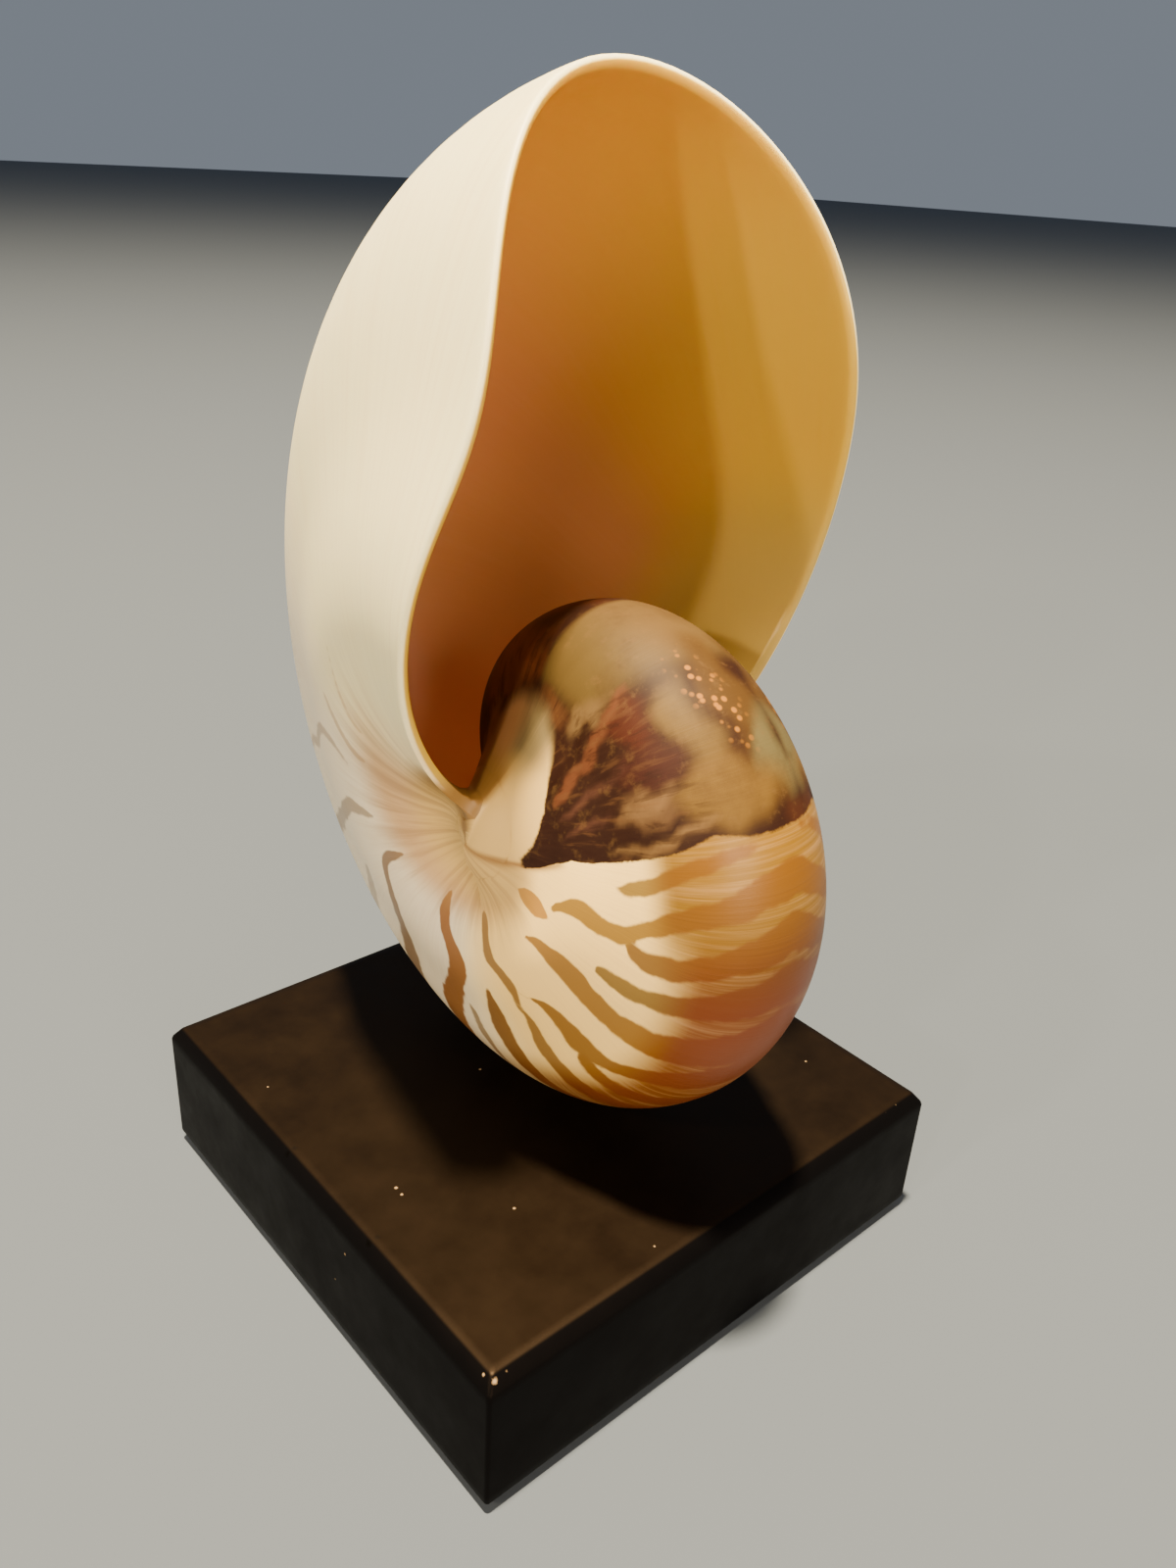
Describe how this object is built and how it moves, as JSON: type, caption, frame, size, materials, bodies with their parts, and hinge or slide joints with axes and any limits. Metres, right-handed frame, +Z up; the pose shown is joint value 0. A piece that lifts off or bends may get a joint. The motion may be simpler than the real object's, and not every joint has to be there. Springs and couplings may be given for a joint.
{
  "type": "chambered nautilus shell on a slab",
  "caption": "Whole chambered nautilus shell standing mouth forward, glued by its keel to a low square black slab with bevelled edges.",
  "frame": {"origin": "middle of the slab's underside, where the object rests", "axes": "+Z up through the slab and the shell, -Y the way the shell's mouth faces, +X along the axis of the coil"},
  "size_m": [0.1, 0.1219, 0.1892],
  "materials": {
    "shell": "natural polished shell, cream with tan to orange-brown flame stripes",
    "slab": "satin black paint, lightly worn",
    "glue": "clear glue, yellowed"
  },
  "bodies": {
    "root": {"nautilus_shell": "shell", "base_slab": "slab", "glue_bead": "glue"}
  },
  "joints": []
}
